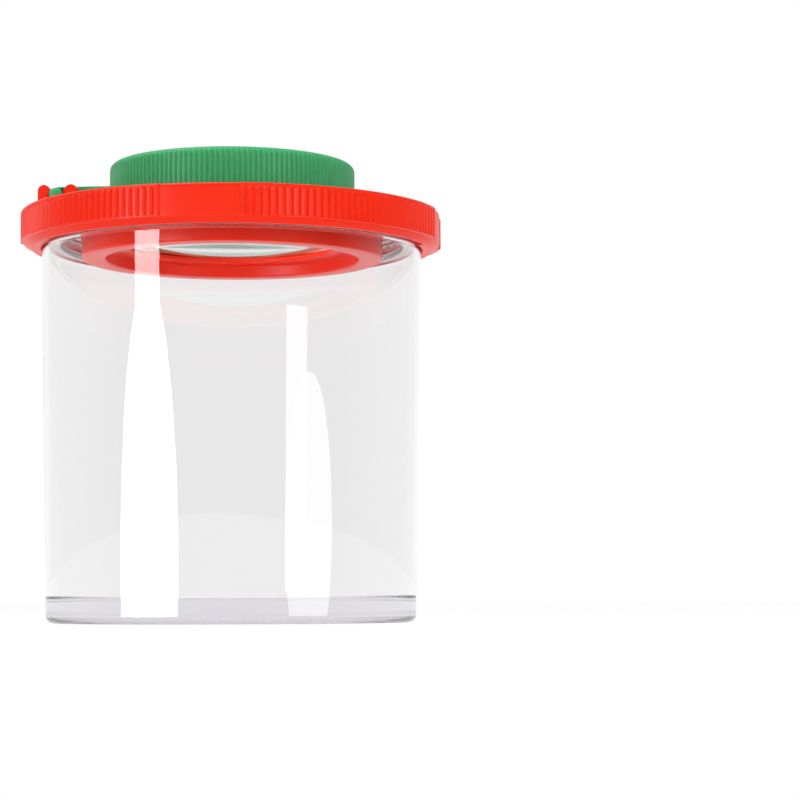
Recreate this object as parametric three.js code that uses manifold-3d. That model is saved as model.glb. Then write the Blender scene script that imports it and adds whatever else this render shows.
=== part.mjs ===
// A bug viewer box: a clear screw-top jar for insects, with one magnifying lens snapped into the
// lid and a second one in a ribbed ring that flips open on a snap hinge.
// Millimetres, +Z up. The origin is the centre of the circle that the jar's foot stands on.
// The hinge is on the -X side, and +Y points to the back.

import * as THREE from "three";
import { mergeVertices } from "three/addons/utils/BufferGeometryUtils.js";
import Module from "manifold-3d";

const wasm = await Module();
wasm.setup();

// Clearances
const SEAT_GAP = 0.3; // round a lens in its seat, and under a piece that rests on another
const THREAD_GAP = 0.3; // between a thread's crest and the wall that it runs along
const PIN_GAP = 0.2; // between the hinge pin and the round seats of its clips
const ARM_GAP = 0.4; // between the arm and the clips on both sides of it

// Jar
const FOOT_RADIUS = 30.43;
const SHOULDER_RADIUS = 31.45;
const SHOULDER_HEIGHT = 62.8;
const JAR_WALL = 1.1;
const FLOOR_TOP = 4;
const FOOT_RING_HEIGHT = 0.7;
const FOOT_RING_WIDTH = 2.9;
const FOOT_FILLET = 1.3;
const SHOULDER_FILLET = 1.7;
const FLOOR_FILLET = 0.6;
const NECK_RADIUS = 29.6;
const NECK_WALL = 1.2;
const NECK_HEIGHT = 3.4;
const RIM_CHAMFER = 0.25;

// Screw thread, three ridges on the neck and three in the lid
const THREAD_STARTS = 3;
const THREAD_LEAD = 4;
const RIDGE_HEIGHT = 0.75;
const RIDGE_BASE = 0.8;
const RIDGE_CREST = 0.35;
const RIDGE_SWEEP = 112;
const RIDGE_RUNOUT = 14;
const RIDGE_START_ANGLE = -15.7;
const RIDGE_START_RISE = 1.35; // of a neck ridge's lower end, above the shoulder

// Lid
const LID_RADIUS = 35;
const PLATE_THICKNESS = 1.26;
const LID_FILLET = 0.6;
const GRIP_RIBS_PER_QUARTER = 35;
const GRIP_RIB_DEPTH = 0.35;
const GRIP_PANEL_DEPTH = 0.45;
const GRIP_PANEL_HALF_ANGLE = 10.2;
const GRIP_EDGE = 0.28; // over which the grooves run out at the wall's lower edge
const RIM_DROP = 1.1; // of the rim's lower edge, below the jar's shoulder
const RIM_WIDTH = 1.9;
const RIM_SLANT = 0.87;
const RIM_STEP = 0.7; // of the ribbed wall, out over the slanted band under it
const RIM_FLAT = 0.5; // of the rim's flat lower edge
const SKIRT_WALL = 0.95;
const POCKET_DEPTH = 3.3;
const POCKET_BRIDGE_ANGLE = 41;
const POCKET_START_ANGLE = -147;
const COLLAR_RADIUS = 24.92;
const COLLAR_DEPTH = 6.45; // below the plate
const LEDGE_RISE = 2; // of the ledge under the lens, above the collar's lower end
const LEDGE_THICKNESS = 0.7;
const VENT_COUNT = 8;
const VENT_RADIUS = 0.8;

// Lens in the lid
const FIXED_LENS_RADIUS = 20.75;
const FIXED_LENS_EDGE = 2.6;
const FIXED_LENS_UPPER_DOME = 1.5;
const FIXED_LENS_LOWER_DOME = 1.9;
const FIXED_STOP_REACH = 3.75; // of the ledge under the lens
const FIXED_LIP_REACH = 0.75; // of the snap lip over the lens
const SNAP_LIP_THICKNESS = 0.55;

// Flip ring and its lens
const FLIP_RADIUS = 20.38;
const FLIP_HEIGHT = 8;
const FLIP_FILLET = 1.2;
const FLIP_RIBS = 145;
const FLIP_RIB_DEPTH = 0.3;
const FLIP_LENS_RADIUS = 18.6;
const FLIP_LENS_EDGE = 2.2;
const FLIP_LENS_UPPER_DOME = 1.2;
const FLIP_LENS_LOWER_DOME = 1.7;
const FLIP_STOP_REACH = 0.8; // of the upper stop over the lens
const FLIP_STOP_THICKNESS = 1.5;
const FLIP_LIP_REACH = 0.5; // of the snap lip under the lens

// Hinge
const HINGE_RADIUS = 28.6;
const HINGE_RISE = 3.05; // of the pin's axis, above the lid's top
const PIN_RADIUS = 1.1;
const PIN_LENGTH = 14.6;
const KNUCKLE_RADIUS = 1.8;
const ARM_WIDTH = 6.8;
const ARM_THICKNESS = 1.6;
const CLIP_WIDTH = 2.2;
const CLIP_HEIGHT = 4.84;
const CLIP_THROAT = 1.9;
const OUTER_PRONG = 2.15;
const INNER_PRONG = 2.65;
const PRONG_ROUND = 1.1; // the top corner away from the throat
const LEAD_IN = 0.6; // the top corner at the throat

// Facets
const AROUND = 48;
const LENS_AROUND = 40;
const LENS_RINGS = 4;
const PIN_AROUND = 20;
const VENT_AROUND = 10;
const PANEL_FACETS = 3;
const FILLET_STEPS = 3;
const RIDGE_STEP_ANGLE = 7;
const EMBED = 0.5; // how far one form runs into the form that it is joined to
const BAND_RUN_ON = 1.1; // the slanted band's share that is modelled, the last tenth inside the ribs
const MERGE_WITHIN = 0.005; // faces as flat as this become one

const radians = THREE.MathUtils.degToRad;

// A closed geometry as a solid that can be joined and cut.
function solid(geometry) {
  const bare = new THREE.BufferGeometry();
  bare.setAttribute("position", geometry.getAttribute("position"));
  bare.setIndex(geometry.index);
  const merged = mergeVertices(bare, 1e-4);
  return new wasm.Manifold(
    new wasm.Mesh({
      numProp: 3,
      vertProperties: merged.getAttribute("position").array,
      triVerts: new Uint32Array(merged.index.array),
    }),
  );
}

function geometryOf(made) {
  const { vertProperties, triVerts } = made.asOriginal().simplify(MERGE_WITHIN).getMesh();
  const geometry = new THREE.BufferGeometry();
  geometry.setAttribute("position", new THREE.BufferAttribute(vertProperties, 3));
  geometry.setIndex(new THREE.BufferAttribute(triVerts, 1));
  geometry.computeVertexNormals();
  return geometry;
}

// Points [radius, height] on an arc, from one angle to the other in degrees.
function arc(radius, height, size, from, to) {
  return Array.from({ length: FILLET_STEPS + 1 }, (_, i) => {
    const angle = radians(from + ((to - from) * i) / FILLET_STEPS);
    return [radius + size * Math.cos(angle), height + size * Math.sin(angle)];
  });
}

// A profile of [radius, height] points turned about Z.
function revolve(profile, around = AROUND) {
  const points = profile.map(([radius, height]) => new THREE.Vector2(radius, height));
  return new THREE.LatheGeometry(points, around).rotateX(Math.PI / 2);
}

const polar = ([radius, angle]) =>
  new THREE.Vector2(radius * Math.cos(radians(angle)), radius * Math.sin(radians(angle)));

// A ring with a ribbed outside. The relief is a list of [depth, angle in degrees] round the ring, and
// the closed profile is a list of [radius, height, share of the relief that is taken off there].
// A relief with a third value keeps at least that share at every height.
function ribbedRing(relief, profile) {
  const vertices = profile.flatMap(([radius, height, share]) =>
    relief.flatMap(([depth, angle, leastShare = 0]) => {
      const { x, y } = polar([radius - depth * Math.max(share, leastShare), angle]);
      return [x, y, height];
    }),
  );
  const faces = [];
  for (let row = 0; row < profile.length; row++) {
    const here = row * relief.length;
    const above = ((row + 1) % profile.length) * relief.length;
    for (let i = 0; i < relief.length; i++) {
      const next = (i + 1) % relief.length;
      faces.push(here + i, here + next, above + next, here + i, above + next, above + i);
    }
  }
  const geometry = new THREE.BufferGeometry();
  geometry.setAttribute("position", new THREE.Float32BufferAttribute(vertices, 3));
  return geometry.setIndex(faces);
}

// A block between two radii and two angles, extruded upwards.
function ringSector(innerRadius, outerRadius, from, to, bottom, top) {
  const steps = Math.ceil((to - from) / (360 / AROUND));
  const angles = Array.from({ length: steps + 1 }, (_, i) => from + ((to - from) * i) / steps);
  const outer = angles.map((angle) => polar([outerRadius, angle]));
  const inner = angles.map((angle) => polar([innerRadius, angle])).reverse();
  const settings = { depth: top - bottom, bevelEnabled: false };
  const shape = new THREE.Shape([...outer, ...inner]);
  return new THREE.ExtrudeGeometry(shape, settings).translate(0, 0, bottom);
}

// A helical ridge whose crest stands off a round wall, and runs out into it at both ends.
// The crest is outside the wall's radius on the neck and inside it in the lid.
function threadRidge(wallRadius, crestRadius, startAngle, startHeight) {
  const side = Math.sign(crestRadius - wallRadius);
  const steps = Math.round(RIDGE_SWEEP / RIDGE_STEP_ANGLE);
  const vertices = [];
  for (let i = 0; i <= steps; i++) {
    const turned = (RIDGE_SWEEP * i) / steps;
    const fade = Math.min(1, Math.min(turned, RIDGE_SWEEP - turned) / RIDGE_RUNOUT);
    const sunk = wallRadius - side * EMBED;
    const crest = THREE.MathUtils.lerp(sunk + side * EMBED / 2, crestRadius, fade);
    const height = startHeight + (THREAD_LEAD * turned) / 360;
    const section = [
      [sunk, height - RIDGE_BASE / 2],
      [crest, height - RIDGE_CREST / 2],
      [crest, height + RIDGE_CREST / 2],
      [sunk, height + RIDGE_BASE / 2],
    ];
    for (const [radius, z] of side > 0 ? section : section.reverse()) {
      const { x, y } = polar([radius, startAngle + turned]);
      vertices.push(x, y, z);
    }
  }
  const faces = [0, 1, 2, 0, 2, 3];
  for (let i = 0; i < steps; i++) {
    for (let corner = 0; corner < 4; corner++) {
      const here = 4 * i + corner;
      const next = 4 * i + ((corner + 1) % 4);
      faces.push(here, here + 4, next, next, here + 4, next + 4);
    }
  }
  const last = 4 * steps;
  faces.push(last, last + 2, last + 1, last, last + 3, last + 2);
  const geometry = new THREE.BufferGeometry();
  geometry.setAttribute("position", new THREE.Float32BufferAttribute(vertices, 3));
  return geometry.setIndex(faces);
}

const threadAngles = Array.from(
  { length: THREAD_STARTS },
  (_, i) => RIDGE_START_ANGLE + (360 * i) / THREAD_STARTS,
);
const neckRidgeRadius = NECK_RADIUS + RIDGE_HEIGHT;
const neckBoreRadius = NECK_RADIUS - NECK_WALL;
const rimHeight = SHOULDER_HEIGHT + NECK_HEIGHT;

// The jar: a tapered cup on a low foot ring, with a necked-in threaded mouth.
function jar() {
  const wallFoot = FOOT_RADIUS - JAR_WALL;
  const wallTop = SHOULDER_RADIUS - JAR_WALL;
  const innerShoulder = SHOULDER_HEIGHT - JAR_WALL;
  const shoulderFillet = Math.min(SHOULDER_FILLET, 0.95 * (SHOULDER_RADIUS - NECK_RADIUS));
  const cup = solid(
    revolve([
      [0, FOOT_RING_HEIGHT],
      [FOOT_RADIUS - FOOT_RING_WIDTH, FOOT_RING_HEIGHT],
      [FOOT_RADIUS - FOOT_RING_WIDTH, 0],
      ...arc(FOOT_RADIUS - FOOT_FILLET, FOOT_FILLET, FOOT_FILLET, -90, 0),
      ...arc(SHOULDER_RADIUS - shoulderFillet, SHOULDER_HEIGHT - shoulderFillet, shoulderFillet, 0, 90),
      [NECK_RADIUS, SHOULDER_HEIGHT],
      [NECK_RADIUS, rimHeight - RIM_CHAMFER],
      [NECK_RADIUS - RIM_CHAMFER, rimHeight],
      [neckBoreRadius + RIM_CHAMFER, rimHeight],
      [neckBoreRadius, rimHeight - RIM_CHAMFER],
      [neckBoreRadius, innerShoulder],
      [wallTop, innerShoulder - (wallTop - neckBoreRadius) / 2],
      ...arc(wallFoot - FLOOR_FILLET, FLOOR_TOP + FLOOR_FILLET, FLOOR_FILLET, 0, -90),
      [0, FLOOR_TOP],
    ]),
  );
  const ridges = threadAngles.map((angle) =>
    solid(threadRidge(NECK_RADIUS, neckRidgeRadius, angle, SHOULDER_HEIGHT + RIDGE_START_RISE)),
  );
  return ridges.reduce((made, ridge) => made.add(ridge), cup);
}

// The lid's frame has its origin in the middle of its flat top.
const lidHeight = rimHeight + SEAT_GAP + PLATE_THICKNESS;
const rimBottom = SHOULDER_HEIGHT - RIM_DROP - lidHeight;
const skirtBottom = SHOULDER_HEIGHT + SEAT_GAP - lidHeight;
const plateUnderside = -PLATE_THICKNESS;
const collarBottom = plateUnderside - COLLAR_DEPTH;
const ledgeTop = collarBottom + LEDGE_RISE + LEDGE_THICKNESS;
const fixedSeatRadius = FIXED_LENS_RADIUS + SEAT_GAP;
const fixedLensMiddle = ledgeTop + SEAT_GAP + FIXED_LENS_EDGE / 2;
const skirtBoreRadius = neckRidgeRadius + THREAD_GAP;

// The relief of the lid's grip: ribs on each quarter, with a smooth panel between the quarters that is
// sunk from the wall's top to its bottom.
function gripRelief() {
  const pitch = (90 - 2 * GRIP_PANEL_HALF_ANGLE) / GRIP_RIBS_PER_QUARTER;
  const relief = [];
  for (const middle of [0, 90, 180, 270]) {
    for (let i = 0; i <= PANEL_FACETS; i++) {
      relief.push([GRIP_PANEL_DEPTH, middle + GRIP_PANEL_HALF_ANGLE * ((2 * i) / PANEL_FACETS - 1), 1]);
    }
    for (let i = 0; i < GRIP_RIBS_PER_QUARTER; i++) {
      const groove = middle + GRIP_PANEL_HALF_ANGLE + pitch * i;
      if (i > 0) relief.push([GRIP_RIB_DEPTH, groove]);
      relief.push([0, groove + pitch / 2]);
    }
  }
  return relief;
}

// Two prongs round the pin's axis, open at the top, with a throat narrower than the pin.
function hingeClip() {
  const seat = PIN_RADIUS + PIN_GAP;
  const throat = CLIP_THROAT / 2;
  const throatHeight = Math.sqrt(seat ** 2 - throat ** 2);
  const top = CLIP_HEIGHT - HINGE_RISE;
  const foot = -HINGE_RISE - PLATE_THICKNESS / 2;
  const seatEnd = Math.atan2(throatHeight, throat);
  const shape = new THREE.Shape();
  shape.moveTo(-throat - OUTER_PRONG, foot);
  shape.lineTo(throat + INNER_PRONG, foot);
  const upright = Math.PI / 2;
  shape.absarc(throat + INNER_PRONG - PRONG_ROUND, top - PRONG_ROUND, PRONG_ROUND, 0, upright, false);
  shape.absarc(throat + LEAD_IN, top - LEAD_IN, LEAD_IN, upright, Math.PI, false);
  shape.absarc(0, 0, seat, seatEnd, Math.PI - seatEnd, true);
  shape.absarc(-throat - LEAD_IN, top - LEAD_IN, LEAD_IN, 0, upright, false);
  shape.absarc(PRONG_ROUND - throat - OUTER_PRONG, top - PRONG_ROUND, PRONG_ROUND, upright, Math.PI, false);
  const settings = { depth: CLIP_WIDTH, bevelEnabled: false, curveSegments: FILLET_STEPS * 2 };
  return new THREE.ExtrudeGeometry(shape, settings)
    .rotateX(Math.PI / 2)
    .translate(-HINGE_RADIUS, CLIP_WIDTH / 2, HINGE_RISE);
}

// The lid: a ribbed rim, a threaded skirt inside it, a deep collar round the lens and the hinge clips.
function lid() {
  const lipRadius = LID_RADIUS - RIM_WIDTH;
  const pocketRadius = lipRadius - RIM_FLAT;
  const wallBottom = rimBottom + RIM_SLANT;
  const core = LID_RADIUS - LID_FILLET - GRIP_PANEL_DEPTH - EMBED / 2;
  const bandRadius = lipRadius + BAND_RUN_ON * (LID_RADIUS - RIM_STEP - lipRadius);
  const seatTop = ledgeTop + FIXED_LENS_EDGE + 2 * SEAT_GAP;
  const snapBore = FIXED_LENS_RADIUS - FIXED_LIP_REACH;
  const ledgeBore = FIXED_LENS_RADIUS - FIXED_STOP_REACH;
  const bridgeBore = SHOULDER_RADIUS + SEAT_GAP;
  const body = solid(
    revolve([
      [lipRadius, rimBottom],
      [bandRadius, rimBottom + BAND_RUN_ON * RIM_SLANT],
      [core, wallBottom + GRIP_EDGE],
      [core, 0],
      [fixedSeatRadius, 0],
      [fixedSeatRadius, seatTop + SNAP_LIP_THICKNESS],
      [snapBore, seatTop + SNAP_LIP_THICKNESS],
      [snapBore, seatTop],
      [fixedSeatRadius, seatTop],
      [fixedSeatRadius, ledgeTop],
      [ledgeBore, ledgeTop],
      [ledgeBore, ledgeTop - LEDGE_THICKNESS],
      [fixedSeatRadius, ledgeTop - LEDGE_THICKNESS],
      [fixedSeatRadius, collarBottom],
      [COLLAR_RADIUS, collarBottom],
      [COLLAR_RADIUS, plateUnderside],
      [skirtBoreRadius, plateUnderside],
      [skirtBoreRadius, skirtBottom],
      [bridgeBore, skirtBottom],
      [bridgeBore, rimBottom],
      [lipRadius, rimBottom],
    ]),
  );
  const inside = core - EMBED;
  const ribs = ribbedRing(gripRelief(), [
    [inside, wallBottom, 0],
    [LID_RADIUS, wallBottom, 0],
    [LID_RADIUS, wallBottom + GRIP_EDGE, 1],
    [LID_RADIUS, -LID_FILLET, 1],
    [LID_RADIUS - LID_FILLET * 0.3, -LID_FILLET * 0.3, 0.6],
    [LID_RADIUS - LID_FILLET, 0, 0],
    [inside, 0, 0],
  ]);
  const clips = [-1, 1].map((side) =>
    solid(hingeClip().translate(0, side * (ARM_WIDTH / 2 + ARM_GAP + CLIP_WIDTH / 2), 0)),
  );
  const ridges = threadAngles.map((angle) => {
    const height = skirtBottom - SEAT_GAP + RIDGE_START_RISE - THREAD_LEAD / THREAD_STARTS / 2;
    return solid(threadRidge(skirtBoreRadius, NECK_RADIUS + THREAD_GAP, angle, height));
  });
  const pockets = [0, 180].map((turned) => {
    const from = POCKET_START_ANGLE + turned;
    const to = from + 180 - POCKET_BRIDGE_ANGLE;
    const skirtRadius = skirtBoreRadius + SKIRT_WALL;
    const pocketTop = rimBottom + POCKET_DEPTH;
    return solid(ringSector(skirtRadius, pocketRadius, from, to, rimBottom - EMBED, pocketTop));
  });
  const ventCircle = (COLLAR_RADIUS + neckBoreRadius) / 2;
  const vents = Array.from({ length: VENT_COUNT }, (_, i) => {
    const { x, y } = polar([ventCircle, (360 * (i + 0.5)) / VENT_COUNT]);
    const drill = new THREE.CylinderGeometry(VENT_RADIUS, VENT_RADIUS, 3 * PLATE_THICKNESS, VENT_AROUND);
    return solid(drill.rotateX(Math.PI / 2).translate(x, y, 0));
  });
  const joined = [solid(ribs), ...clips, ...ridges].reduce((made, form) => made.add(form), body);
  return [...pockets, ...vents].reduce((made, form) => made.subtract(form), joined);
}

// A lens with a flat edge and a dome on both faces. Its frame's origin is in the middle of its edge.
function lens(radius, edge, upperRadius, upperDome, lowerRadius, lowerDome) {
  const dome = (chord, rise) => {
    const sphere = (chord ** 2 + rise ** 2) / (2 * rise);
    return Array.from({ length: LENS_RINGS + 1 }, (_, i) => {
      const r = (chord * i) / LENS_RINGS;
      return [r, Math.sqrt(sphere ** 2 - r ** 2) - (sphere - rise)];
    });
  };
  const lower = dome(lowerRadius, lowerDome).map(([r, rise]) => [r, -edge / 2 - rise]);
  const upper = dome(upperRadius, upperDome).map(([r, rise]) => [r, edge / 2 + rise]);
  const profile = [...lower, [radius, -edge / 2], [radius, edge / 2], ...upper.reverse()];
  return solid(revolve(profile, LENS_AROUND));
}

// The flip magnifier's frame has its origin on the pin's axis, with the ring towards +X.
const flipSeatRadius = FLIP_LENS_RADIUS + SEAT_GAP;
const flipBottom = SEAT_GAP - HINGE_RISE;
const flipTop = flipBottom + FLIP_HEIGHT;
const flipLensMiddle = flipTop - FLIP_STOP_THICKNESS - SEAT_GAP - FLIP_LENS_EDGE / 2;

// The flip frame: a ribbed ring, and an arm that ends in a knuckle with a pin on both sides.
function flipFrame() {
  const seatTop = flipTop - FLIP_STOP_THICKNESS;
  const seatBottom = seatTop - FLIP_LENS_EDGE - 2 * SEAT_GAP;
  const lipBore = FLIP_LENS_RADIUS - FLIP_LIP_REACH;
  const stopBore = FLIP_LENS_RADIUS - FLIP_STOP_REACH;
  const core = FLIP_RADIUS - FLIP_RIB_DEPTH - EMBED;
  const wallTop = flipTop - FLIP_FILLET;
  const crown = FLIP_RADIUS - FLIP_FILLET;
  const ring = revolve([
    [flipSeatRadius, flipBottom],
    [core, flipBottom],
    [core, wallTop],
    [THREE.MathUtils.lerp(flipSeatRadius, crown, 0.8), flipTop],
    [stopBore, flipTop],
    [stopBore, seatTop],
    [flipSeatRadius, seatTop],
    [flipSeatRadius, seatBottom],
    [lipBore, seatBottom],
    [lipBore, seatBottom - SNAP_LIP_THICKNESS],
    [flipSeatRadius, seatBottom - SNAP_LIP_THICKNESS],
    [flipSeatRadius, flipBottom],
  ]);
  const pitch = 360 / FLIP_RIBS;
  const relief = Array.from({ length: FLIP_RIBS }, (_, i) => [
    [0, pitch * i],
    [FLIP_RIB_DEPTH, pitch * (i + 0.5)],
  ]).flat();
  const inside = THREE.MathUtils.lerp(flipSeatRadius, crown, 0.3);
  const ribs = ribbedRing(relief, [
    [inside, flipBottom, 0],
    [FLIP_RADIUS, flipBottom, 1],
    [FLIP_RADIUS, wallTop, 1],
    [FLIP_RADIUS - FLIP_FILLET * 0.3, flipTop - FLIP_FILLET * 0.3, 0.6],
    [crown, flipTop, 0],
    [inside, flipTop, 0],
  ]);
  const armTop = KNUCKLE_RADIUS;
  const armReach = HINGE_RADIUS - flipSeatRadius - EMBED;
  const arm = new THREE.BoxGeometry(armReach, ARM_WIDTH, ARM_THICKNESS);
  arm.translate(armReach / 2, 0, armTop - ARM_THICKNESS / 2);
  const dome = PIN_RADIUS / 2;
  const pinEnd = PIN_LENGTH / 2 - dome;
  const domed = Array.from({ length: FILLET_STEPS + 1 }, (_, i) => {
    const angle = radians((90 * i) / FILLET_STEPS);
    return [PIN_RADIUS * Math.cos(angle), pinEnd + dome * Math.sin(angle)];
  });
  const halfPin = [[KNUCKLE_RADIUS, ARM_WIDTH / 2], [PIN_RADIUS, ARM_WIDTH / 2], ...domed];
  const mirrored = halfPin.map(([radius, along]) => [radius, -along]).reverse();
  const pinProfile = [...mirrored, ...halfPin].map(([radius, along]) => new THREE.Vector2(radius, along));
  const pin = new THREE.LatheGeometry(pinProfile, PIN_AROUND);
  return [solid(ribs.translate(HINGE_RADIUS, 0, 0)), solid(arm), solid(pin)].reduce(
    (made, form) => made.add(form),
    solid(ring.translate(HINGE_RADIUS, 0, 0)),
  );
}

const clearPlastic = new THREE.MeshStandardMaterial({
  color: "#f3f5f6",
  roughness: 0.05,
  metalness: 0,
  transparent: true,
  opacity: 0.25,
});
const redPlastic = new THREE.MeshStandardMaterial({ color: "#f23a22", roughness: 0.35, metalness: 0 });
const greenPlastic = new THREE.MeshStandardMaterial({ color: "#3f9f66", roughness: 0.4, metalness: 0 });

function piece(name, made, material) {
  const mesh = new THREE.Mesh(geometryOf(made), material);
  mesh.name = name;
  return mesh;
}

const flipLensUpper = FLIP_LENS_RADIUS - FLIP_STOP_REACH;
const flipLensLower = FLIP_LENS_RADIUS - FLIP_LIP_REACH;
const flipLens = piece(
  "flip_lens",
  lens(
    FLIP_LENS_RADIUS,
    FLIP_LENS_EDGE,
    flipLensUpper - SEAT_GAP,
    FLIP_LENS_UPPER_DOME,
    flipLensLower - SEAT_GAP,
    FLIP_LENS_LOWER_DOME,
  ),
  clearPlastic,
);
flipLens.position.set(HINGE_RADIUS, 0, flipLensMiddle);

const flipMagnifier = new THREE.Group();
flipMagnifier.position.set(-HINGE_RADIUS, 0, HINGE_RISE);
flipMagnifier.add(piece("flip_frame", flipFrame(), greenPlastic), flipLens);

const fixedLens = piece(
  "fixed_lens",
  lens(
    FIXED_LENS_RADIUS,
    FIXED_LENS_EDGE,
    FIXED_LENS_RADIUS - FIXED_LIP_REACH - SEAT_GAP,
    FIXED_LENS_UPPER_DOME,
    FIXED_LENS_RADIUS - FIXED_STOP_REACH - SEAT_GAP,
    FIXED_LENS_LOWER_DOME,
  ),
  clearPlastic,
);
fixedLens.position.z = fixedLensMiddle;

const lidAssembly = new THREE.Group();
lidAssembly.position.z = lidHeight;
lidAssembly.add(piece("screw_lid", lid(), redPlastic), fixedLens, flipMagnifier);

const bugViewerBox = new THREE.Group();
bugViewerBox.add(piece("specimen_jar", jar(), clearPlastic), lidAssembly);

export default bugViewerBox;
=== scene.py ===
# %% [markdown]
# # A bug viewer box, step by step
#
# The real thing is five plastic mouldings that snap together: a clear jar, a red screw lid, a green
# ring that flips up on a hinge, and a magnifying lens in each of the last two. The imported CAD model
# gives every size and place, and this script gives each moulding its finished shape and its plastic.

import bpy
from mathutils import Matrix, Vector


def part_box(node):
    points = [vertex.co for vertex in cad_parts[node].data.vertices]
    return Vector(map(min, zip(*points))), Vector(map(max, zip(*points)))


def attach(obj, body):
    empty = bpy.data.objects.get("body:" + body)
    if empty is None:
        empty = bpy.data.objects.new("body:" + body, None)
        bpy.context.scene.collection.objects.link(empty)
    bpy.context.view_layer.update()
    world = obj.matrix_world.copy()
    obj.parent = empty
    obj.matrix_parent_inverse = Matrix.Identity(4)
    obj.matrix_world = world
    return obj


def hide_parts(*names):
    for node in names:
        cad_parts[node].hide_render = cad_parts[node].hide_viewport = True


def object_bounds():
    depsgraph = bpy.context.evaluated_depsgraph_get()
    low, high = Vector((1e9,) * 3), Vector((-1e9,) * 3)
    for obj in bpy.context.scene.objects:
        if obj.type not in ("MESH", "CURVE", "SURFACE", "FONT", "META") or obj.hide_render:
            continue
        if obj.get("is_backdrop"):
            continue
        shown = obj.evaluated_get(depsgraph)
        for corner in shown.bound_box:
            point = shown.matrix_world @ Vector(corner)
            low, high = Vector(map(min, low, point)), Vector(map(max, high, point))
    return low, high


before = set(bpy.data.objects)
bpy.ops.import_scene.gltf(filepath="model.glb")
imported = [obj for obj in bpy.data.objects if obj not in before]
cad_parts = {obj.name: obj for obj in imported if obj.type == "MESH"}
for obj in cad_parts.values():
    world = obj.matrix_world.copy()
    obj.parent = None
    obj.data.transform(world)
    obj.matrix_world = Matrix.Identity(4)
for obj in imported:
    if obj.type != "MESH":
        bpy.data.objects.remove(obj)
cad_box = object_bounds()
print("CAD box's upper corner in mm:", [round(v * 1000, 2) for v in cad_box[1]])

# %% [markdown]
# The pieces are written in millimetres, as on a drawing, and turned into metres as they go to
# Blender. The few helpers here do what the hand does with the mouse: start a piece, draw it out and
# close it again.

# %% Helpers for modelling
import math

import bpy
import numpy as np
from mathutils import Matrix, Vector

MM = 0.001


def millimetres(*values):
    return Vector([value * MM for value in values])


def deselect_all():
    for thing in bpy.context.selected_objects:
        thing.select_set(False)


def start_at(name, point):
    """A new piece that is one vertex, in edit mode, ready to be drawn out."""
    deselect_all()
    bpy.ops.mesh.primitive_plane_add(size=MM, location=(0, 0, 0))
    piece = bpy.context.object
    piece.name = name
    piece.data.name = name
    bpy.ops.object.mode_set(mode="EDIT")
    bpy.ops.mesh.merge(type="CENTER")
    bpy.ops.transform.translate(value=millimetres(*point))
    return piece


def draw_line(points):
    """Draws on from the last vertex, through each of the points in turn."""
    for before, after in zip(points, points[1:]):
        step = millimetres(*after) - millimetres(*before)
        bpy.ops.mesh.extrude_vertices_move(TRANSFORM_OT_translate={"value": step})


def close_edit(smooth_angle=32):
    """Merges doubled points, turns the faces outwards and shades the piece."""
    bpy.ops.mesh.select_all(action="SELECT")
    bpy.ops.mesh.remove_doubles(threshold=0.002 * MM)
    bpy.ops.mesh.normals_make_consistent(inside=False)
    bpy.ops.object.mode_set(mode="OBJECT")
    bpy.ops.object.shade_smooth_by_angle(angle=math.radians(smooth_angle))
    piece = bpy.context.object
    piece.select_set(False)
    return piece


def let_large_faces_lead(piece):
    """Shades by the large faces, so that a long straight wall looks straight up to its ends."""
    deselect_all()
    bpy.context.view_layer.objects.active = piece
    shading = piece.modifiers.new("large faces lead", "WEIGHTED_NORMAL")
    shading.weight = 100
    shading.keep_sharp = True
    bpy.ops.object.modifier_apply(modifier=shading.name)


def size_in_mm(piece):
    corners = [Vector(corner) for corner in piece.bound_box]
    low = [min(corner[i] for corner in corners) * 1000 for i in range(3)]
    high = [max(corner[i] for corner in corners) * 1000 for i in range(3)]
    return [round(b - a, 2) for a, b in zip(low, high)]


def tell(piece):
    print(piece.name, size_in_mm(piece), "mm,", len(piece.data.polygons), "faces")


# %% [markdown]
# A turned moulding is drawn as half of its cross-section and spun round. A moulding has no sharp
# corners, so nearly every corner of the section is an arc. `arc` gives its points as radius and
# height. `turned` spins the section through one sector and copies that sector round the axis, which
# is much quicker than one long spin.

# %% Helpers for turned shapes


def arc(radius, height, size, start, end, steps=5):
    """Points on an arc from one angle to the other, in degrees."""
    angles = [math.radians(start + (end - start) * i / steps) for i in range(steps + 1)]
    return [(radius + size * math.cos(a), height + size * math.sin(a)) for a in angles]


def turned(name, section, around):
    """A section of (radius, height) points, spun once round the upright axis."""
    points = [(radius, 0, height) for radius, height in section]
    start_at(name, points[0])
    draw_line(points)
    sectors = max(number for number in range(1, 33) if around % number == 0)
    sector = 2 * math.pi / sectors
    bpy.ops.mesh.select_all(action="SELECT")
    bpy.ops.mesh.spin(steps=around // sectors, angle=sector, center=(0, 0, 0), axis=(0, 0, 1))
    bpy.ops.mesh.select_all(action="SELECT")
    bpy.ops.mesh.spin(
        steps=sectors - 1,
        dupli=True,
        angle=sector * (sectors - 1),
        center=(0, 0, 0),
        axis=(0, 0, 1),
    )
    return close_edit()


# %% [markdown]
# ## The clear jar
#
# The jar is moulded clear polystyrene: a slightly tapered cup with a thick solid floor on a low foot
# ring. Its neck steps in and carries the screw thread. Light bends at every surface of it, so the
# wall needs its true thickness and soft corners, and one unbroken skin.

# %% The jar's cup
FOOT_RADIUS, SHOULDER_RADIUS, SHOULDER_HEIGHT = 30.43, 31.45, 62.8
JAR_WALL, FLOOR_TOP = 1.1, 4.0
NECK_RADIUS, NECK_BORE, RIM_HEIGHT = 29.6, 28.4, 66.2

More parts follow.
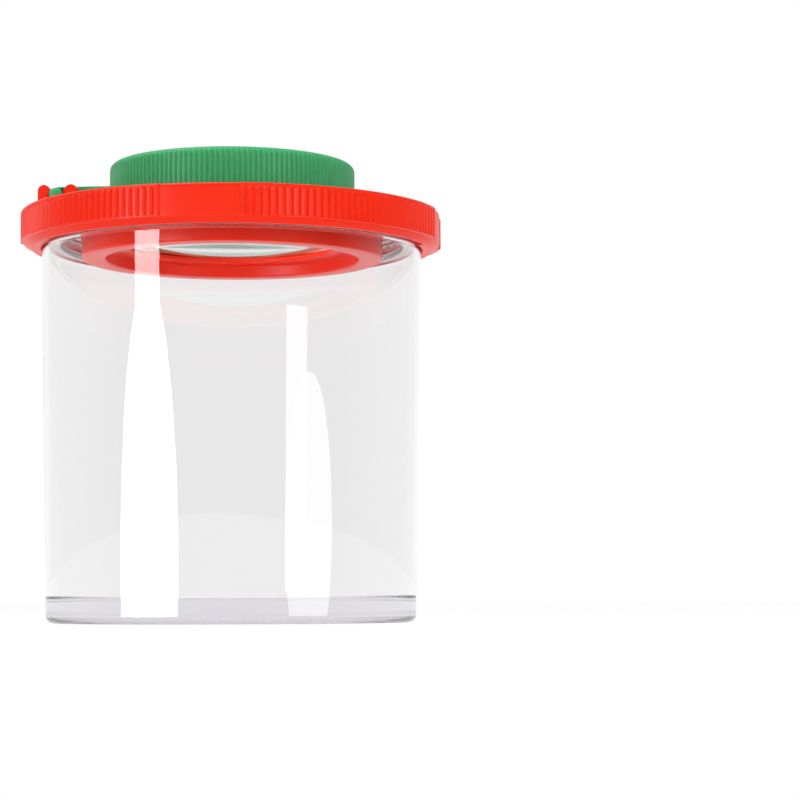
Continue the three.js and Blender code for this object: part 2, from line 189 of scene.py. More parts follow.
jar_section = [
    # The recess in the foot, and the foot ring.
    (0, 0.7),
    *arc(27.23, 0.4, 0.3, 90, 0),
    *arc(27.83, 0.3, 0.3, 180, 270),
    *arc(FOOT_RADIUS - 1.3, 1.3, 1.3, -90, 0, 8),
    # Up the wall, over the shoulder and up the neck to its rim.
    *arc(SHOULDER_RADIUS - 1.8, SHOULDER_HEIGHT - 1.8, 1.8, 0, 90, 14),
    (NECK_RADIUS, SHOULDER_HEIGHT + 0.05),
    *arc(NECK_RADIUS - 0.3, RIM_HEIGHT - 0.3, 0.3, 0, 90),
    *arc(NECK_BORE + 0.3, RIM_HEIGHT - 0.3, 0.3, 90, 180),
    # Down the inside to the floor.
    *arc(NECK_BORE + 0.3, SHOULDER_HEIGHT - JAR_WALL + 0.4, 0.3, 180, 270, 6),
    *arc(SHOULDER_RADIUS - JAR_WALL - 0.4, SHOULDER_HEIGHT - JAR_WALL - 0.3, 0.4, 90, 0, 6),
    *arc(FOOT_RADIUS - JAR_WALL - 0.5, FLOOR_TOP + 0.5, 0.5, 0, -90, 6),
    (0, FLOOR_TOP),
]
jar = turned("jar", jar_section, 240)
tell(jar)

# %% [markdown]
# The thread is three short ridges, each nearly a third of a turn long. The Screw modifier carries a
# small wedge-shaped section along a helix. Both ends are then pressed into the wall, so that the
# ridge runs out as a moulded thread does, and a Boolean welds it to the neck.

# %% The jar's thread
THREAD_LEAD, RIDGE_SWEEP, RIDGE_RUNOUT, RIDGE_STEPS = 4, 112, 14, 56
RIDGE_START, RIDGE_RISE, RIDGE_HEIGHT = -15.7, 1.35, 0.75
HALF_BASE, HALF_CREST, RIDGE_ROOT = 0.4, 0.17, 0.5


def thread_ridge(name, wall, crest, start_angle, start_height):
    """One helical ridge whose crest stands off the wall, faded out at both ends."""
    sunk = wall - math.copysign(RIDGE_ROOT, crest - wall)
    section = [(sunk, -HALF_BASE), (crest, -HALF_CREST), (crest, HALF_CREST), (sunk, HALF_BASE)]
    start_at(name, (sunk, 0, -HALF_BASE))
    draw_line([(radius, 0, height) for radius, height in section])
    bpy.ops.mesh.select_all(action="SELECT")
    bpy.ops.mesh.edge_face_add()
    bpy.ops.object.mode_set(mode="OBJECT")
    ridge = bpy.context.object
    screw = ridge.modifiers.new("helix", "SCREW")
    screw.angle = math.radians(RIDGE_SWEEP)
    screw.screw_offset = THREAD_LEAD * RIDGE_SWEEP / 360 * MM
    screw.steps = screw.render_steps = RIDGE_STEPS
    bpy.ops.object.modifier_apply(modifier=screw.name)
    for vertex in ridge.data.vertices:
        radius = math.hypot(vertex.co.x, vertex.co.y)
        turned_by = math.degrees(math.atan2(vertex.co.y, vertex.co.x))
        fade = min(1, min(turned_by, RIDGE_SWEEP - turned_by) / RIDGE_RUNOUT)
        if abs(radius - sunk * MM) < 0.01 * MM or fade >= 1:
            continue
        fade = max(0, fade)
        fade = fade * fade * (3 - 2 * fade)
        buried = sunk + math.copysign(RIDGE_ROOT / 2, crest - wall)
        target = (buried + (crest - buried) * fade) * MM
        vertex.co.x *= target / radius
        vertex.co.y *= target / radius
    ridge.data.transform(Matrix.Rotation(math.radians(start_angle), 4, "Z"))
    ridge.data.transform(Matrix.Translation(millimetres(0, 0, start_height)))
    bpy.ops.object.mode_set(mode="EDIT")
    return close_edit()


def weld(piece, tool, operation):
    """Joins or cuts a piece with a tool, which is used up."""
    deselect_all()
    bpy.context.view_layer.objects.active = piece
    cut = piece.modifiers.new("weld", "BOOLEAN")
    cut.operation = operation
    cut.solver = "EXACT"
    cut.object = tool
    bpy.ops.object.modifier_apply(modifier=cut.name)
    bpy.data.objects.remove(tool)


crest_radius, ridge_bottom = NECK_RADIUS + RIDGE_HEIGHT, SHOULDER_HEIGHT + RIDGE_RISE
for i in range(3):
    ridge = thread_ridge("ridge", NECK_RADIUS, crest_radius, RIDGE_START + 120 * i, ridge_bottom)
    weld(jar, ridge, "UNION")
tell(jar)

# %% [markdown]
# ## Ribbed grips
#
# The lid and the flip ring both have fine upright ribs. The ring is turned first, with six points to
# each rib, and then its grooves are pressed in: the points of all the grooves in a row are picked by
# their angle and scaled towards the axis at once. A row of the section is (radius, height, share),
# and the share says how much of the groove's depth it gets, so that the ribs fade out at both ends.

# %% Helper for ribs


def press_relief(piece, rows, columns, depth_of):
    """Scales picked points of a turned ring towards its axis, by a depth for each column."""
    places = np.empty(len(piece.data.vertices) * 3)
    piece.data.vertices.foreach_get("co", places)
    x, y, z = places.reshape(-1, 3).T / MM
    column = np.rint(np.arctan2(y, x) / (2 * math.pi) * columns).astype(int) % columns
    depth = np.array([depth_of(number) for number in range(columns)])[column]
    scale = np.ones(len(x))
    for radius, height, share in rows:
        here = (abs(np.hypot(x, y) - radius) < 0.01) & (abs(z - height) < 0.01)
        scale[here] = np.round(1 - depth[here] * share / radius, 6)
    deselect_all()
    bpy.context.view_layer.objects.active = piece
    for size in sorted(set(scale) - {1}):
        bpy.ops.object.mode_set(mode="EDIT")
        bpy.ops.mesh.select_all(action="DESELECT")
        bpy.ops.object.mode_set(mode="OBJECT")
        piece.data.vertices.foreach_set("select", scale == size)
        bpy.ops.object.mode_set(mode="EDIT")
        bpy.ops.transform.resize(value=(size, size, 1), center_override=(0, 0, 0))
        bpy.ops.object.mode_set(mode="OBJECT")
    piece.select_set(True)
    bpy.ops.object.shade_smooth_by_angle(angle=math.radians(32))
    piece.select_set(False)


RIB_POINTS = 6


def groove_depth(step, full):
    """Depth at one of a rib's six points: three lie in the groove and three on the flat crest."""
    return {0: full, 1: 0.6 * full, RIB_POINTS - 1: 0.6 * full}.get(step, 0)


# %% [markdown]
# ## The red screw lid
#
# One moulding does five jobs: a ribbed rim to grip, a threaded skirt, a deep collar that the lens
# drops into from above, the hinge clips on top and the air holes. The lens rests on a ledge and a
# thin lip snaps over it. The whole section is drawn as one closed line, from the rim's slanted lower
# edge up over the top, down the lens seat and the collar, and back along the rim's pocket.

# %% The lid's turned body
LID_RADIUS, LID_TOP, RIM_BOTTOM, SKIRT_BOTTOM = 35, 67.76, 61.7, 63.1
RIB_DEPTH, PANEL_DEPTH = 0.35, 0.45
RIBS_PER_QUARTER, PANEL_COLUMNS = 35, 62
LID_COLUMNS = 4 * (RIBS_PER_QUARTER * RIB_POINTS + PANEL_COLUMNS)


def plain(points):
    """Rows without ribs."""
    return [(radius, height, 0) for radius, height in points]


lid_rows = [
    # The rim's slanted lower edge, and the little ledge above it.
    *plain(arc(32.75, RIM_BOTTOM + 0.15, 0.15, 180, 270, 3)),
    *plain(arc(33.05, RIM_BOTTOM + 0.12, 0.12, -90, -36, 3)),
    (34.3, 62.53, 0),
    (34.33, 62.57, 0),
    *plain(arc(34.9, 62.67, 0.1, -90, 0, 3)),
    # The gripped wall, where the grooves fade in and out again.
    (LID_RADIUS, 62.78, 0),
    (LID_RADIUS, 62.84, 0.45),
    (LID_RADIUS, 62.92, 1),
    (LID_RADIUS, 66.85, 1),
    (LID_RADIUS, 67.05, 0.75),
    (LID_RADIUS, 67.18, 0.3),
    # Over the top.
    *plain(arc(34.55, LID_TOP - 0.45, 0.45, 0, 90)),
    (29, LID_TOP, 0),
    (23, LID_TOP, 0),
    *plain(arc(21.3, LID_TOP - 0.25, 0.25, 90, 180, 3)),
    # The snap lip over the lens, the lens's bore and the ledge under it.
    (21.05, 66.5, 0),
    (20.1, 66.4, 0),
    (20, 66.3, 0),
    (20, 66.1, 0),
    (20.15, 65.97, 0),
    (21.05, 65.95, 0),
    (21.05, 62.75, 0),
    *plain(arc(17.15, 62.6, 0.15, 90, 180, 3)),
    *plain(arc(17.15, 62.2, 0.15, 180, 270, 3)),
    # The collar, and the underside of the plate.
    *plain(arc(20.85, 61.85, 0.2, 90, 0, 3)),
    *plain(arc(21.35, 60.35, 0.3, 180, 270, 3)),
    *plain(arc(24.57, 60.4, 0.35, -90, 0, 4)),
    *plain(arc(25.32, 66.1, 0.4, 180, 90, 3)),
    *plain(arc(30.35, 66.2, 0.3, 90, 0, 3)),
    # The threaded skirt, and the pocket between it and the rim.
    *plain(arc(30.85, SKIRT_BOTTOM + 0.2, 0.2, 180, 270, 3)),
    *plain(arc(31.45, SKIRT_BOTTOM + 0.15, 0.15, -90, 0, 2)),
    *plain(arc(31.8, 64.8, 0.2, 180, 90, 2)),
    *plain(arc(32.4, 64.8, 0.2, 90, 0, 2)),
]


def from_panel(column):
    """How many columns a column lies past the edge of the nearest smooth panel."""
    quarter = column % (LID_COLUMNS // 4)
    return min(quarter, LID_COLUMNS // 4 - quarter) - PANEL_COLUMNS // 2


def lid_ribs(column):
    return groove_depth(from_panel(column) % RIB_POINTS, RIB_DEPTH) if from_panel(column) > 0 else 0


def lid_panels(column):
    return PANEL_DEPTH if from_panel(column) <= 0 else 0


lid_section = [(radius, height) for radius, height, share in lid_rows]
lid = turned("lid", lid_section + lid_section[:1], LID_COLUMNS)
press_relief(lid, lid_rows, LID_COLUMNS, lid_ribs)
# A panel is sunk at every height of the wall, so that no bump is left at its top or bottom.
wall_rows = [(radius, height, 1) for radius, height, share in lid_rows if radius > LID_RADIUS - 0.6]
press_relief(lid, wall_rows, LID_COLUMNS, lid_panels)
tell(lid)

# %% [markdown]
# Eight small air holes go through the lid's flat ring, between the collar and the jar's neck. One
# drill is made, copied round the axis in its own mesh, and taken from the lid with a Boolean.

# %% The lid's air holes
VENT_CIRCLE, VENT_RADIUS, VENT_COUNT = 26.66, 0.8, 8
vent_step = 360 / VENT_COUNT
first_vent = math.radians(vent_step / 2)
vent_x, vent_y = VENT_CIRCLE * math.cos(first_vent), VENT_CIRCLE * math.sin(first_vent)

deselect_all()
bpy.ops.mesh.primitive_cylinder_add(
    vertices=32, radius=VENT_RADIUS * MM, depth=4 * MM, location=millimetres(vent_x, vent_y, 67.1)
)
drills = bpy.context.object
bpy.ops.object.transform_apply(location=True, rotation=False, scale=False)
bpy.ops.object.mode_set(mode="EDIT")
bpy.ops.mesh.select_all(action="SELECT")
bpy.ops.mesh.spin(
    steps=VENT_COUNT - 1,
    dupli=True,
    angle=math.radians(360 - vent_step),
    center=(0, 0, 0),
    axis=(0, 0, 1),
)
bpy.ops.object.mode_set(mode="OBJECT")
weld(lid, drills, "DIFFERENCE")
tell(lid)

# %% [markdown]
# The pocket under the rim doesn't run all the way round: two solid bridges break it. Each is a
# block spun through 41 degrees between the skirt and the rim. The lid's thread has the same ridges
# as the jar's, turned inwards.

# %% The lid's bridges and thread
POCKET_START, POCKET_BRIDGE = -147, 41


def spun_block(name, section, start, sweep, steps):
    """A block with a section of (radius, height) points, spun through part of a turn."""
    first = [(radius, 0, height) for radius, height in section]
    start_at(name, first[0])
    draw_line(first)
    bpy.ops.mesh.select_all(action="SELECT")
    bpy.ops.mesh.edge_face_add()
    bpy.ops.mesh.spin(steps=steps, angle=math.radians(sweep), center=(0, 0, 0), axis=(0, 0, 1))
    block = close_edit()
    # The spin runs clockwise, so the block lies behind its first face.
    block.data.transform(Matrix.Rotation(math.radians(start + sweep), 4, "Z"))
    return block


def join(piece, *others):
    """Makes several meshes one piece."""
    deselect_all()
    for other in (piece, *others):
        other.select_set(True)
    bpy.context.view_layer.objects.active = piece
    bpy.ops.object.join()
    piece.select_set(False)
    return piece


bridge_section = [
    (31.75, 61.72),
    (32.75, 61.72),
    (32.75, 65.2),
    (31.5, 65.2),
    (31.5, 63.2),
    (31.75, 63.1),
]
bridges = [
    spun_block("bridge", bridge_section, POCKET_START + turn - POCKET_BRIDGE, POCKET_BRIDGE, 12)
    for turn in (0, 180)
]
SKIRT_BORE, INNER_RISE = 30.65, 0.68
inner_ridges = [
    thread_ridge(
        "inner_ridge",
        SKIRT_BORE,
        SKIRT_BORE - RIDGE_HEIGHT,
        RIDGE_START + 120 * i,
        SHOULDER_HEIGHT + INNER_RISE,
    )
    for i in range(3)
]
join(lid, *bridges, *inner_ridges)
tell(lid)

# %% [markdown]
# Each hinge clip is two rounded prongs with a round seat between them. The pin is pushed down
# through the throat, springs the prongs apart, and snaps into the seat. The outline is drawn in the
# plane across the pin, filled, extruded to the clip's width and bevelled.

# %% The hinge clips
HINGE_X, HINGE_Z = -28.6, 70.81
CLIP_WIDTH, CLIP_MIDDLE, CLIP_EDGE = 2.2, 4.9, 0.16

# Points across the pin, as (x, z) from its middle: outer prong, seat, inner prong and foot.
clip_outline = [
    *arc(-3.65, -2.55, 0.5, -90, 0, 4),
    *arc(-2.15, 0.75, 1.0, 180, 20, 10),
    *arc(0, 0, 1.3, 137, 403, 20),
    *arc(2.4, 0.65, 1.14, 160, 0, 10),
    (3.58, -0.9),
    *arc(4.3, -2.45, 0.6, 180, 270, 4),
    (4.3, -3.6),
    (-3.65, -3.6),
]


def hinge_clip(middle):
    """One clip, with its middle at a place along the pin."""
    points = [(HINGE_X + x, middle - CLIP_WIDTH / 2, HINGE_Z + z) for x, z in clip_outline]
    start_at("clip", points[0])
    draw_line(points)
    bpy.ops.mesh.select_all(action="SELECT")
    bpy.ops.mesh.remove_doubles(threshold=0.002 * MM)
    bpy.ops.mesh.edge_face_add()
    bpy.ops.mesh.extrude_region_move(
        TRANSFORM_OT_translate={"value": millimetres(0, CLIP_WIDTH, 0)}
    )
    clip = close_edit()
    bevel = clip.modifiers.new("soft edges", "BEVEL")
    bevel.width = CLIP_EDGE * MM
    bevel.segments = 3
    bevel.limit_method = "ANGLE"
    bevel.angle_limit = math.radians(60)
    deselect_all()
    bpy.context.view_layer.objects.active = clip
    bpy.ops.object.modifier_apply(modifier=bevel.name)
    return clip


clips = [hinge_clip(-CLIP_MIDDLE), hinge_clip(CLIP_MIDDLE)]
tell(clips[0])
join(lid, *clips)
tell(lid)

# %% [markdown]
# ## The green flip ring
#
# The ring holds the second lens between a stop at its top and a snap lip below, and its arm ends in
# a knuckle with the hinge pin on both sides, all in one moulding. The ring's axis is the jar's own
# axis when it is shut, so it is turned and pressed as the lid was.

# %% The flip ring
FLIP_RADIUS, FLIP_BOTTOM, FLIP_TOP = 20.38, 68.06, 76.06
FLIP_RIBS, FLIP_RIB_DEPTH = 145, 0.3
FLIP_COLUMNS = FLIP_RIBS * RIB_POINTS
rounded = arc(FLIP_RADIUS - 1.2, FLIP_TOP - 1.2, 1.2, 0, 90, 9)
flip_rows = [
    # The ribbed wall and the round edge above it.
    *plain(arc(20.08, FLIP_BOTTOM + 0.12, 0.12, -90, -20, 2)),
    (FLIP_RADIUS, FLIP_BOTTOM + 0.3, 1),
    (FLIP_RADIUS, FLIP_TOP - 1.7, 1),
    *[(radius, height, max(0, 1 - i / 6)) for i, (radius, height) in enumerate(rounded)],
    # Down the bore: the stop, the lens's seat and the snap lip under the lens.
    *plain(arc(18.1, FLIP_TOP - 0.3, 0.3, 90, 180, 4)),
    *plain(arc(18, 74.76, 0.2, 180, 270, 2)),
    *plain(arc(18.7, 74.36, 0.2, 90, 0, 2)),
    (18.9, 71.8, 0),
    (18.2, 71.72, 0),
    (18.1, 71.62, 0),
    (18.1, 71.4, 0),
    (18.3, 71.26, 0),
    (18.9, 71.15, 0),
    *plain(arc(19.1, FLIP_BOTTOM + 0.2, 0.2, 180, 270, 3)),
]
flip_section = [(radius, height) for radius, height, share in flip_rows]
flip_ring = turned("flip_ring", flip_section + flip_section[:1], FLIP_COLUMNS)


def flip_ribs(column):
    return groove_depth((column + RIB_POINTS // 2) % RIB_POINTS, FLIP_RIB_DEPTH)


press_relief(flip_ring, flip_rows, FLIP_COLUMNS, flip_ribs)
tell(flip_ring)

# %% [markdown]
# The arm is a flat bar from the knuckle to the ring. A cube is set to its size and bevelled. The
# knuckle and the pin are one section spun about the hinge's own axis.

# %% The arm and the pin
ARM_WIDTH, ARM_THICKNESS, ARM_END = 6.8, 1.6, -19.4
PIN_RADIUS, PIN_LENGTH, PIN_TIP = 1.1, 14.6, 0.6
KNUCKLE_RADIUS, KNUCKLE_EDGE = 1.8, 0.15

deselect_all()
bpy.ops.mesh.primitive_cube_add(
    size=1,
    location=millimetres((HINGE_X + ARM_END) / 2, 0, HINGE_Z + KNUCKLE_RADIUS - ARM_THICKNESS / 2),
    scale=millimetres(ARM_END - HINGE_X, ARM_WIDTH, ARM_THICKNESS),
)
arm = bpy.context.object
bpy.ops.object.transform_apply(location=True, rotation=False, scale=True)
bpy.ops.object.mode_set(mode="EDIT")
bpy.ops.mesh.select_all(action="SELECT")
bpy.ops.mesh.bevel(offset=0.22 * MM, segments=3, affect="EDGES")
close_edit()

pin_shoulder = PIN_LENGTH / 2 - PIN_TIP
tip_angles = [math.radians(a) for a in range(15, 91, 15)]
half_pin = [
    *arc(KNUCKLE_RADIUS - KNUCKLE_EDGE, ARM_WIDTH / 2 - KNUCKLE_EDGE, KNUCKLE_EDGE, 0, 90, 3),
    (PIN_RADIUS, ARM_WIDTH / 2),
    (PIN_RADIUS, pin_shoulder),
    *[(PIN_RADIUS * math.cos(a), pin_shoulder + PIN_TIP * math.sin(a)) for a in tip_angles],
]
pin_section = [(radius, -along) for radius, along in reversed(half_pin)] + half_pin
pin_points = [(HINGE_X + radius, along, HINGE_Z) for radius, along in pin_section]
start_at("pin", pin_points[0])
draw_line(pin_points)
bpy.ops.mesh.select_all(action="SELECT")
bpy.ops.mesh.spin(
    steps=48,
    angle=2 * math.pi,
    center=millimetres(HINGE_X, 0, HINGE_Z),
    axis=(0, 1, 0),
    use_auto_merge=True,
)
pin = close_edit()
tell(pin)
join(flip_ring, arm, pin)
tell(flip_ring)

# %% [markdown]
# ## The two lenses
#
# Each lens is a clear disc with a straight edge and a dome on both faces. A dome is part of a
# sphere, and its rise sets how strongly it magnifies.

# %% The lenses
LENS_EDGE = 0.12


def dome(rim, rise, foot, up, rings=20):
    """Points of a dome from the axis out to its rim, as (radius, height). It rises from its foot."""
    sphere = (rim**2 + rise**2) / (2 * rise)
    radii = [rim * i / rings for i in range(rings + 1)]
    return [(r, foot + up * (math.sqrt(sphere**2 - r**2) - (sphere - rise))) for r in radii]


def lens(name, radius, edge_low, edge_high, lower, upper):
    """A lens whose edge runs between two heights. Lower and upper are the domes' (rim, rise)."""
    below = dome(*lower, edge_low, -1)
    above = dome(*upper, edge_high, 1)
    edge = arc(radius - LENS_EDGE, edge_low + LENS_EDGE, LENS_EDGE, -90, 0, 2)
    edge += arc(radius - LENS_EDGE, edge_high - LENS_EDGE, LENS_EDGE, 0, 90, 2)
    return turned(name, below + edge + above[::-1], 160)


fixed_lens = lens("fixed_lens_clear", 20.75, 63.05, 65.65, (16.7, 1.9), (19.7, 1.5))
flip_lens = lens("flip_lens_clear", 18.6, 72.06, 74.26, (17.8, 1.7), (17.5, 1.2))
tell(fixed_lens)
tell(flip_lens)

# %% [markdown]
# ## Plastics
#
# Each plastic is a Principled shader. Its gloss changes a little from place to place, as on a real
# moulding. So does the colour of the dyed ones, and the surface of all but the lenses. The sums are
# written in Python: `Signal` wraps a socket, and sums on it add Math nodes.

# %% A small language for shader sums


class Signal:
    """One output socket of a material that can be used in sums, such as 1 - mask * 0.3."""

    def __init__(self, tree, socket):
        self.tree = tree
        self.socket = socket

    @classmethod
    def node(cls, tree, kind, output, inputs, **settings):
        """Adds a node. Its settings come first, then the values or links of its sockets."""
        made = tree.nodes.new(kind)
        for name, value in settings.items():
            setattr(made, name, value)
        for key, value in inputs.items():
            if isinstance(value, Signal):
                tree.links.new(value.socket, made.inputs[key])
            else:
                made.inputs[key].default_value = value
        return cls(tree, made.outputs[output])

    def sum_of(self, operation, first, second):
        return self.node(self.tree, "ShaderNodeMath", 0, {0: first, 1: second}, operation=operation)

    def __add__(self, other):
        return self.sum_of("ADD", self, other)

    __radd__ = __add__

    def __sub__(self, other):
        return self.sum_of("SUBTRACT", self, other)

    def __rsub__(self, other):
        return self.sum_of("SUBTRACT", other, self)

    def __mul__(self, other):
        return self.sum_of("MULTIPLY", self, other)

    __rmul__ = __mul__


def new_plastic(name, **constants):
    """A material with one Principled shader, its plain values set on the shader's own sockets."""
    material = bpy.data.materials.new(name)
    material.use_nodes = True
    shader = material.node_tree.nodes["Principled BSDF"]
    for socket, value in constants.items():
        shader.inputs[socket.replace("_", " ")].default_value = value
    return material, material.node_tree, shader


def noise(tree, spot_mm, detail=2.0):
    """Noise on the object's own coordinates, in spots about so many millimetres wide."""
    place = Signal.node(tree, "ShaderNodeTexCoord", "Object", {})
    inputs = {"Vector": place, "Scale": 1000 / spot_mm, "Detail": detail}
    return Signal.node(tree, "ShaderNodeTexNoise", "Fac", inputs)


def mixed(tree, factor, first, second):
    """A colour between two colours, which are sockets 6 and 7 of a Mix node."""
    inputs = {"Factor": factor, 6: (*first, 1), 7: (*second, 1)}
    return Signal.node(tree, "ShaderNodeMix", 2, inputs, data_type="RGBA")


def bumped(tree, height, depth_mm):
    """A surface normal from a height, whose full range is a depth in millimetres."""
    inputs = {"Height": height, "Distance": depth_mm * MM, "Strength": 1.0}
    return Signal.node(tree, "ShaderNodeBump", "Normal", inputs)


def wear_in(tree, shader, **links):
    """Links what varies over the surface to the shader's sockets."""
    for socket, value in links.items():
        tree.links.new(value.socket, shader.inputs[socket.replace("_", " ")])


print("shader sums are ready")

# %% [markdown]
# The red and green plastics are dyed polypropylene: satin, a little waxy, with flow marks from the
# mould that show as faint clouds.

# %% The dyed plastics


def dyed_plastic(name, dark, light, roughness):
    """A satin plastic between two shades of its dye, with flow marks and a fine grain."""
    material, tree, shader = new_plastic(name, IOR=1.49, Specular_IOR_Level=0.15)
    clouds = noise(tree, 9.0, 3.0)
    grain = noise(tree, 0.35, 1.0)
    wear_in(
        tree,
        shader,
        Base_Color=mixed(tree, clouds, dark, light),
        Roughness=clouds * 0.08 + grain * 0.05 + (roughness - 0.065),
        Normal=bumped(tree, grain * 0.3 + clouds * 0.7, 0.012),
    )
    return material


red = dyed_plastic("red_polypropylene", (0.86, 0.02, 0.004), (0.92, 0.03, 0.007), 0.3)
green = dyed_plastic("green_polypropylene", (0.05, 0.39, 0.148), (0.07, 0.46, 0.182), 0.34)
print(red.name, green.name)

# %% [markdown]
# The jar and the lenses are clear polystyrene. A clear material is nearly all refraction, so its
# detail is in how smooth it is. The jar's wall has very slow waves from the moulding, which bend the
# light a little. The lenses are polished and have none.

# %% The clear plastics


def clear_plastic(name, tint, wave_mm):
    """A clear plastic with slow waves, a trace of haze and a tinge that grows with its thickness."""
    material, tree, shader = new_plastic(name, IOR=1.55, Transmission_Weight=1.0)
    shader.inputs["Base Color"].default_value = (*tint, 1)
    waves = noise(tree, 16.0, 1.0)
    haze = noise(tree, 2.5, 2.0)
    wear_in(tree, shader, Roughness=haze * 0.02, Normal=bumped(tree, waves, wave_mm))
    thickness = Signal.node(
        tree, "ShaderNodeVolumeAbsorption", 0, {"Color": (0.3, 0.26, 0.4, 1), "Density": 6.0}
    )
    tree.links.new(thickness.socket, tree.nodes["Material Output"].inputs["Volume"])
    return material


clear = clear_plastic("clear_polystyrene", (0.99, 0.985, 0.988), 0.01)
lens_clear = clear_plastic("lens_polystyrene", (0.985, 0.99, 0.985), 0.0)
print(clear.name, lens_clear.name)

# %% [markdown]
# ## Putting it together
#
# Every piece stands for its CAD node and rides on that node's body. The
# clear pieces cast no shadow, so that the lamps reach the collar inside the jar.

# %% Pieces onto their bodies
fitting = [
    (jar, "specimen_jar", "jar", "clear_plastic", clear),
    (lid, "screw_lid", "lid", "red_plastic", red),
    (flip_ring, "flip_frame", "flip", "green_plastic", green),
    (fixed_lens, "fixed_lens", "lid_lens", "lens_plastic", lens_clear),
    (flip_lens, "flip_lens", "flip", "lens_plastic", lens_clear),
]
for piece, node, body, finish, material in fitting:
    let_large_faces_lead(piece)
    piece.data.materials.clear()
    piece.data.materials.append(material)
    low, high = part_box(node)
    cad_size = [round((b - a) * 1000, 2) for a, b in zip(low, high)]
    print(node, "CAD", cad_size, "now", size_in_mm(piece))
    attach(piece, body)
    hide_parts(node)
    piece.visible_shadow = material not in (clear, lens_clear)

# %% [markdown]
# ## The studio
#
# The camera was found from the photograph: a long lens, just above the table, that looks up a
# little. Four of the soft boxes only draw the white stripes on the jar: a wide oval and a strip over
# it at the left, and a smaller pair at the right. The other three light the plastics: one from
# above, one from low in front and one from the right. Lamps and floor are in metres.

# %% The camera
CAMERA_PLACE, FOCAL_LENGTH, SENSOR_WIDTH = (62.69, -416.85, 3.55), 114.3, 36
heading, pitch, roll = math.radians(94.761), 0.0789, -0.0033
forward = Vector(
    (math.cos(heading) * math.cos(pitch), math.sin(heading) * math.cos(pitch), math.sin(pitch))
)
level = Vector((math.sin(heading), -math.cos(heading), 0))
above = level.cross(forward)
right = level * math.cos(roll) + above * math.sin(roll)
top = above * math.cos(roll) - level * math.sin(roll)

lens_data = bpy.data.cameras.new("camera")
lens_data.lens = FOCAL_LENGTH
lens_data.sensor_width = SENSOR_WIDTH
lens_data.clip_start, lens_data.clip_end = 0.01, 20
camera = bpy.data.objects.new("camera", lens_data)
bpy.context.scene.collection.objects.link(camera)
turned_to_jar = Matrix((right, top, -forward)).transposed().to_4x4()
camera.matrix_world = Matrix.Translation(millimetres(*CAMERA_PLACE)) @ turned_to_jar
bpy.context.scene.camera = camera
print("camera at", [round(value * 1000, 1) for value in camera.location], "mm")

# %% The soft boxes
JAR_MIDDLE, HIGH = 0.04, 0.1


def soft_box(name, azimuth, distance, height, width, tall, power, shape="RECTANGLE"):
    """A lamp that faces the jar, in metres and watts. Azimuth 0 is along -Y, and 90 along +X.

    A low box stands upright, and a high one is tilted to look at the jar's middle.
    """
    lamp = bpy.data.lights.new(name, "AREA")
    lamp.shape = shape
    lamp.size, lamp.size_y = width, tall
    lamp.energy = power
    holder = bpy.data.objects.new(name, lamp)
    bpy.context.scene.collection.objects.link(holder)
    angle = math.radians(azimuth)
    holder.location = (distance * math.sin(angle), -distance * math.cos(angle), height)
    aim = Vector((0, 0, JAR_MIDDLE if height > HIGH else height)) - holder.location
    holder.rotation_euler = aim.to_track_quat("-Z", "Y").to_euler()
    holder.visible_camera = False
    return holder


# Name, azimuth, distance, height, width, how tall, power and outline.
stripe_boxes = [
    soft_box("left_box", -41.5, 0.45, 0.0, 0.305, 0.187, 1.3, "ELLIPSE"),
    soft_box("left_strip", -41.5, 0.45, 0.07, 0.122, 0.17, 0.7),
    soft_box("right_box", 54.5, 0.45, 0.014, 0.24, 0.1, 0.22, "ELLIPSE"),
    soft_box("right_strip", 46, 0.45, 0.0385, 0.1, 0.093, 0.11),
]
for box in stripe_boxes:
    box.visible_transmission = box.visible_diffuse = False

light_boxes = [
    soft_box("fill_box", 42, 0.9, 0.3, 0.7, 0.5, 3.5),
    soft_box("front_box", -5, 0.9, -0.04, 0.9, 0.4, 2.8),
]
for box in light_boxes:
    box.visible_glossy = box.visible_transmission = False
soft_box("top_box", -60, 0.45, 1.1, 0.8, 0.8, 10)
print(len(stripe_boxes) + len(light_boxes) + 1, "soft boxes")

# %% [markdown]
# The floor and the world are white to the camera and to light that has passed through clear plastic,
# so that the background is white without more light on the object. Reflections see a greyer room.
# The floor lets the lamps shine through it, as a white light table does, and that lights the collar.

# %% The floor and the world


def light_path(tree, output):
    return Signal.node(tree, "ShaderNodeLightPath", output, {})


def none_of(tree, depth):
    """One for a ray that has had no bounce of one kind, else zero."""
    bounces = light_path(tree, depth)
    return bounces.sum_of("LESS_THAN", bounces, 0.5)


def background_ray(tree):
    """One for rays from the camera, and for all that went straight through clear plastic."""
    through = light_path(tree, "Is Transmission Ray") * none_of(tree, "Glossy Depth")
    return through.sum_of("MAXIMUM", light_path(tree, "Is Camera Ray"), through)


FLOOR_RADIUS, FLOOR_GAP, FLOOR_GLOW = 6, 0.00005, 0.97

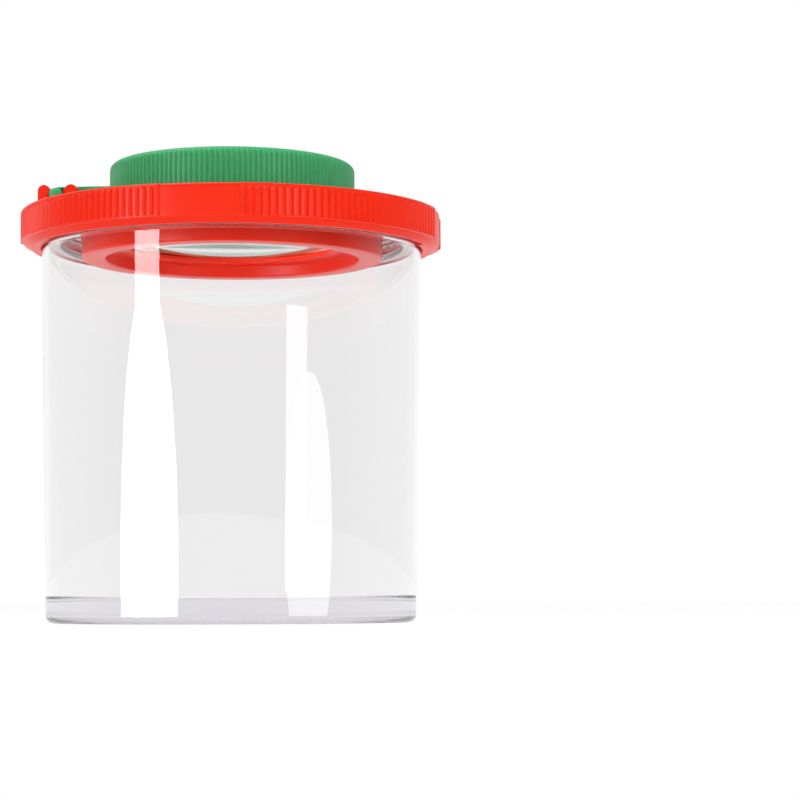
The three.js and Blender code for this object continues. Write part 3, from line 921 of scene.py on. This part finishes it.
deselect_all()
bpy.ops.mesh.primitive_circle_add(
    vertices=96, radius=FLOOR_RADIUS, fill_type="NGON", location=(0, 0, -FLOOR_GAP)
)
floor = bpy.context.object
floor.name = "floor"
floor_paint = bpy.data.materials.new("floor_paint")
floor_paint.use_nodes = True
floor_tree = floor_paint.node_tree
paper = floor_tree.nodes["Principled BSDF"]
paper.inputs["Base Color"].default_value = (0.9, 0.9, 0.9, 1)
paper.inputs["Roughness"].default_value = 0.7
glow = Signal.node(floor_tree, "ShaderNodeEmission", 0, {"Color": (1, 1, 1, 1), "Strength": 1.0})
seen = none_of(floor_tree, "Diffuse Depth") * FLOOR_GLOW
paper_look = Signal(floor_tree, paper.outputs[0])
mixer = Signal.node(floor_tree, "ShaderNodeMixShader", 0, {0: seen, 1: paper_look, 2: glow})
floor_tree.links.new(mixer.socket, floor_tree.nodes["Material Output"].inputs["Surface"])
floor.data.materials.append(floor_paint)
floor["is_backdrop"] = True
floor.visible_glossy = False
floor.visible_shadow = False

# The room is dark in front of the jar and grows brighter towards its sides and back.
ROOM_FRONT, FRONT_LEVEL, BACK_LEVEL, DARK_UNTIL = (0.149, -0.989, 0), 0.04, 1.0, 0.43

world = bpy.data.worlds.new("studio")
bpy.context.scene.world = world
world.use_nodes = True
sky = world.node_tree
room = sky.nodes["Background"]
room.inputs["Color"].default_value = (1, 1, 1, 1)
direction = Signal.node(sky, "ShaderNodeTexCoord", "Generated", {})
frontness = Signal.node(
    sky, "ShaderNodeVectorMath", "Value", {0: direction, 1: ROOM_FRONT}, operation="DOT_PRODUCT"
)
levels = {"From Min": DARK_UNTIL, "From Max": -1.0, "To Min": FRONT_LEVEL, "To Max": BACK_LEVEL}
brightness = Signal.node(sky, "ShaderNodeMapRange", 0, {"Value": frontness, **levels})
sky.links.new(brightness.socket, room.inputs["Strength"])
white = Signal.node(sky, "ShaderNodeBackground", 0, {"Color": (1, 1, 1, 1), "Strength": 1.0})
room_look = Signal(sky, room.outputs[0])
both = Signal.node(
    sky, "ShaderNodeMixShader", 0, {0: background_ray(sky), 1: room_look, 2: white}
)
sky.links.new(both.socket, sky.nodes["World Output"].inputs["Surface"])

scene = bpy.context.scene
scene.view_settings.view_transform = "Standard"
# Light goes round inside the clear wall many times, and fewer bounces would leave dark rings.
scene.cycles.max_bounces = 32
scene.cycles.glossy_bounces = 24
scene.cycles.transmission_bounces = 32
print("floor", floor.name, "world", world.name)

# %% [markdown]
# The finished model should be as large as the CAD model, so both boxes are printed.

# %% The sizes, and the end
final_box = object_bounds()
sizes = {
    "cad": [list(corner) for corner in cad_box],
    "visual": [list(corner) for corner in final_box],
}
for name, box in sizes.items():
    print(name, "box in mm:", [[round(v * 1000, 2) for v in corner] for corner in box])
